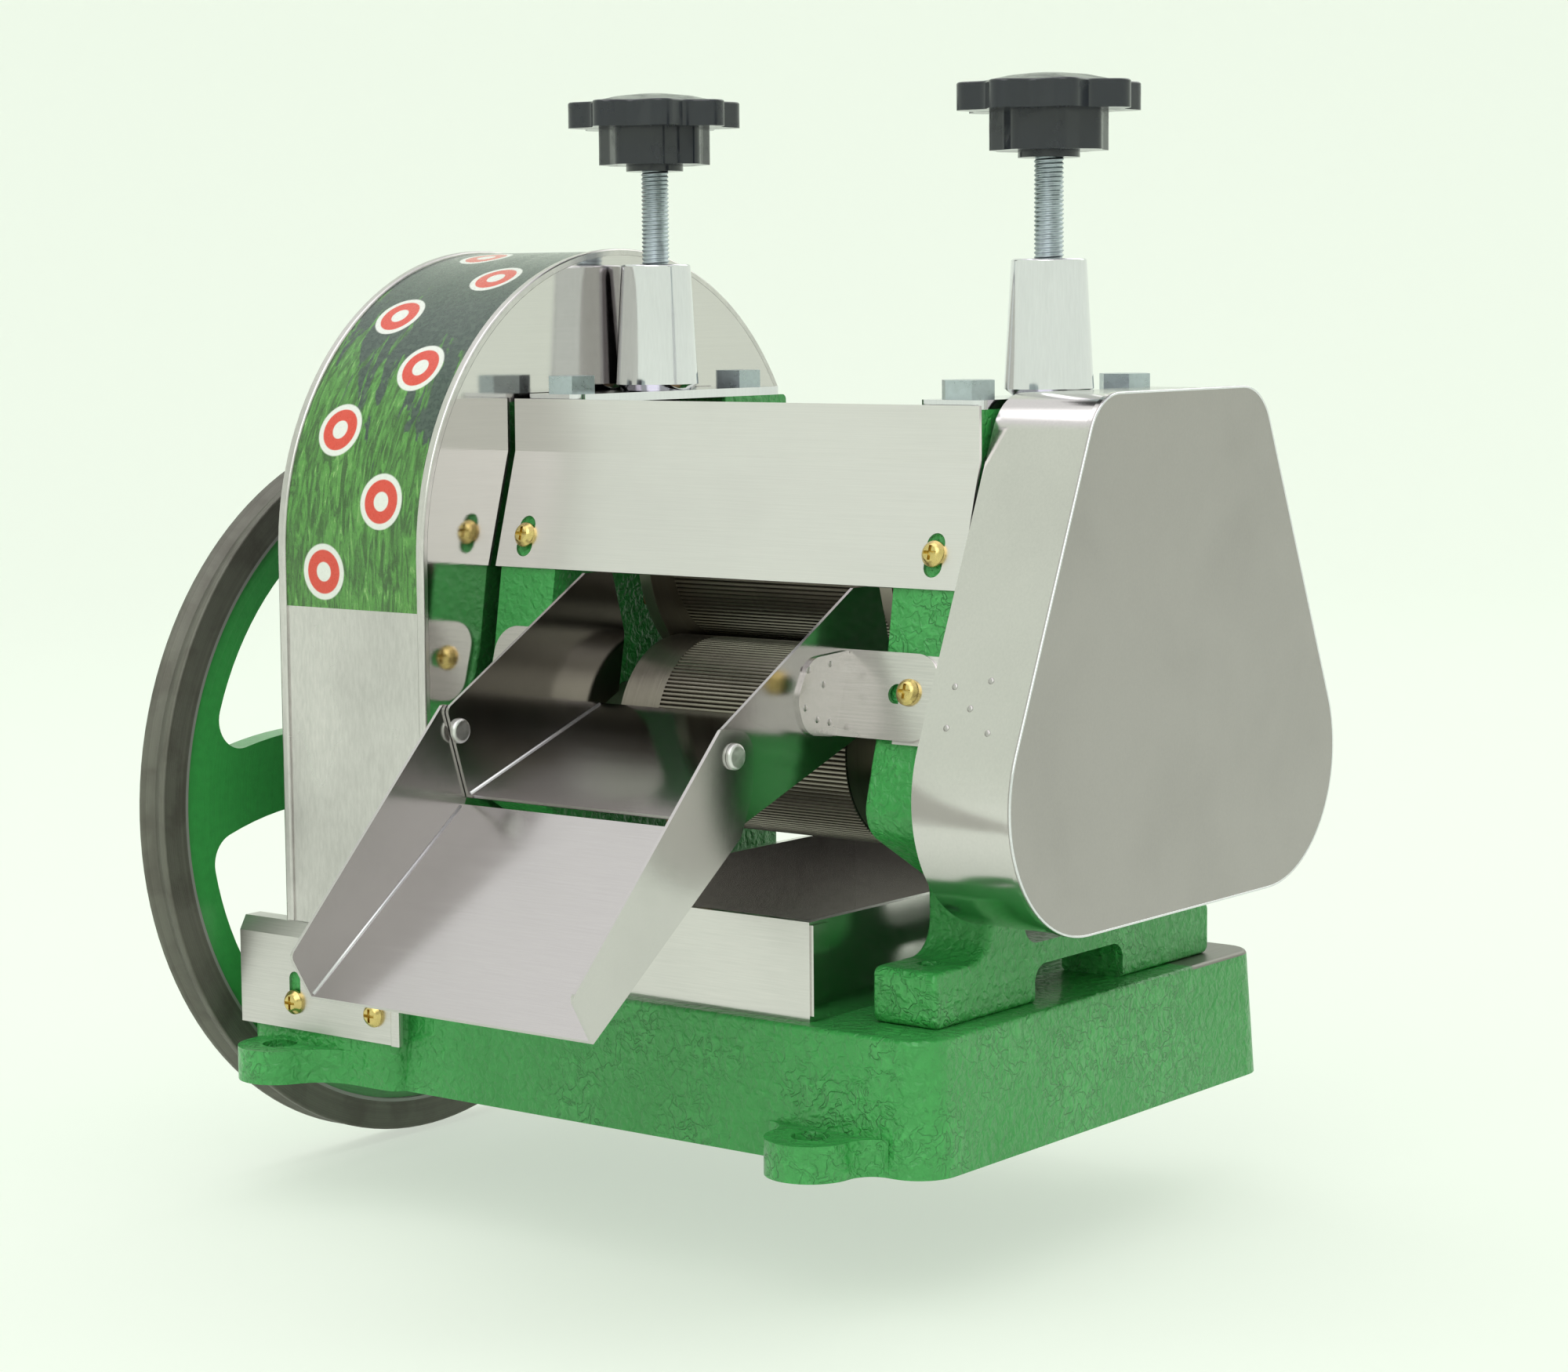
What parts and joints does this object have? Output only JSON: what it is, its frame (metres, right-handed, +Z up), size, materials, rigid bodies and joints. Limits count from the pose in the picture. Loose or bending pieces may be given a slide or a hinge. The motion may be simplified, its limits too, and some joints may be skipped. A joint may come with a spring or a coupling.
{
  "type": "manual sugarcane juicer",
  "caption": "Hand-cranked cane press: fluted rollers in a cast frame, screw-and-spring pressure knobs, geared handwheel, steel covers, folding chute and tray.",
  "frame": {"origin": "centre of the four ear holes on the underside of the base", "axes": "+X towards the roller gear cover along the roller axes, -Y towards the feed chute, +Z up"},
  "size_m": [0.42, 0.3509, 0.394],
  "materials": {
    "hammertone": "green hammertone enamel on cast iron",
    "wheel_casting": "green enamel on cast iron, bare machined rim",
    "brushed_sheet": "brushed stainless sheet",
    "polished_sheet": "polished stainless sheet",
    "chrome_cones": "bright chrome plating",
    "zinc_bolts": "blue-white zinc plating",
    "yellow_screws": "yellow zinc plating",
    "rivets": "bare aluminium",
    "rollers": "turned and fluted steel",
    "bronze": "cast bronze",
    "springs": "black spring steel",
    "gears": "cut cast iron, greased",
    "shafts": "turned steel",
    "knobs": "glossy black bakelite"
  },
  "bodies": {
    "frame": {"base_casting": "hammertone", "left_stand": "hammertone", "right_stand": "hammertone", "outer_stand": "hammertone", "stand_bolts": "zinc_bolts", "left_spring_housing": "chrome_cones", "right_spring_housing": "chrome_cones", "housing_bolts": "zinc_bolts", "front_guard": "brushed_sheet", "guard_screws": "yellow_screws", "feed_chute": "brushed_sheet", "chute_tabs": "brushed_sheet", "tab_screws": "yellow_screws", "chute_rivets": "rivets", "arch_cover": "brushed_sheet", "arch_inner_plate": "polished_sheet", "arch_foot_bracket": "brushed_sheet", "foot_screws": "yellow_screws", "gear_cover": "polished_sheet", "front_roller_bushes": "bronze", "rear_roller_bushes": "bronze", "shaft_bushes": "bronze", "cover_lug": "brushed_sheet"},
    "wheel": {"wheel_shaft": "shafts", "handwheel": "wheel_casting", "wheel_nut": "zinc_bolts", "drive_pinion": "gears", "crank_bolt": "zinc_bolts", "crank_nut": "zinc_bolts"},
    "grip": {"crank_grip": "knobs"},
    "carriage": {"left_bearing_block": "bronze", "right_bearing_block": "bronze"},
    "top_roller_set": {"top_roller": "rollers", "top_roller_gear": "gears", "top_gear_nut": "zinc_bolts", "drive_gear": "gears", "drive_gear_nut": "zinc_bolts"},
    "front_roller_set": {"front_roller": "rollers", "front_roller_gear": "gears", "front_gear_nut": "zinc_bolts"},
    "rear_roller_set": {"rear_roller": "rollers", "rear_roller_gear": "gears", "rear_gear_nut": "zinc_bolts"},
    "left_cap": {"left_spring_cap": "springs", "left_spring": "springs"},
    "right_cap": {"right_spring_cap": "springs", "right_spring": "springs"},
    "left_knob": {"left_star_knob": "knobs", "left_pressure_screw": "zinc_bolts"},
    "right_knob": {"right_star_knob": "knobs", "right_pressure_screw": "zinc_bolts"},
    "extension": {"chute_extension": "brushed_sheet"},
    "tray": {"juice_tray": "brushed_sheet"}
  },
  "joints": [
    {"name": "wheel_spin", "type": "hinge", "parent": "frame", "child": "wheel", "pos_m": [-0.16, 0, 0.092], "axis": [1, 0, 0], "continuous": true},
    {"name": "grip_spin", "type": "hinge", "parent": "wheel", "child": "grip", "pos_m": [-0.2, 0.08458, 0.14535], "axis": [1, 0, 0], "continuous": true},
    {"name": "roller_lift", "type": "slide", "parent": "frame", "child": "carriage", "axis": [0, 0, 1], "range_m": [0, 0.002], "stiffness_N_per_m": 30000, "springref_m": -0.004},
    {"name": "top_roller_spin", "type": "hinge", "parent": "carriage", "child": "top_roller_set", "pos_m": [0.05, 0, 0.191], "axis": [1, 0, 0], "continuous": true},
    {"name": "front_roller_spin", "type": "hinge", "parent": "frame", "child": "front_roller_set", "pos_m": [0.05, -0.0335, 0.1267], "axis": [1, 0, 0], "continuous": true},
    {"name": "rear_roller_spin", "type": "hinge", "parent": "frame", "child": "rear_roller_set", "pos_m": [0.05, 0.0335, 0.1267], "axis": [1, 0, 0], "continuous": true},
    {"name": "left_cap_slide", "type": "slide", "parent": "frame", "child": "left_cap", "axis": [0, 0, 1], "range_m": [-0.015, 0], "deforming": ["left_spring"]},
    {"name": "right_cap_slide", "type": "slide", "parent": "frame", "child": "right_cap", "axis": [0, 0, 1], "range_m": [-0.015, 0], "deforming": ["right_spring"]},
    {"name": "left_knob_turn", "type": "hinge", "parent": "left_cap", "child": "left_knob", "pos_m": [-0.035, 0, 0.3], "axis": [0, 0, 1], "range_deg": [-3600, 0]},
    {"name": "right_knob_turn", "type": "hinge", "parent": "right_cap", "child": "right_knob", "pos_m": [0.135, 0, 0.3], "axis": [0, 0, 1], "range_deg": [-3600, 0]},
    {"name": "chute_fold", "type": "hinge", "parent": "frame", "child": "extension", "pos_m": [0.05, -0.138, 0.1355], "axis": [1, 0, 0], "range_deg": [-120, 0]},
    {"name": "tray_slide", "type": "slide", "parent": "frame", "child": "tray", "axis": [0, -1, 0], "range_m": [0, 0.08]}
  ],
  "couplings": [
    {"joint": "top_roller_spin", "follows": "wheel_spin", "ratio": -0.26923},
    {"joint": "front_roller_spin", "follows": "wheel_spin", "ratio": 0.26923},
    {"joint": "rear_roller_spin", "follows": "wheel_spin", "ratio": 0.26923},
    {"joint": "left_knob_turn", "follows": "left_cap_slide", "rad_per_m": 4188.8},
    {"joint": "right_knob_turn", "follows": "right_cap_slide", "rad_per_m": 4188.8}
  ]
}
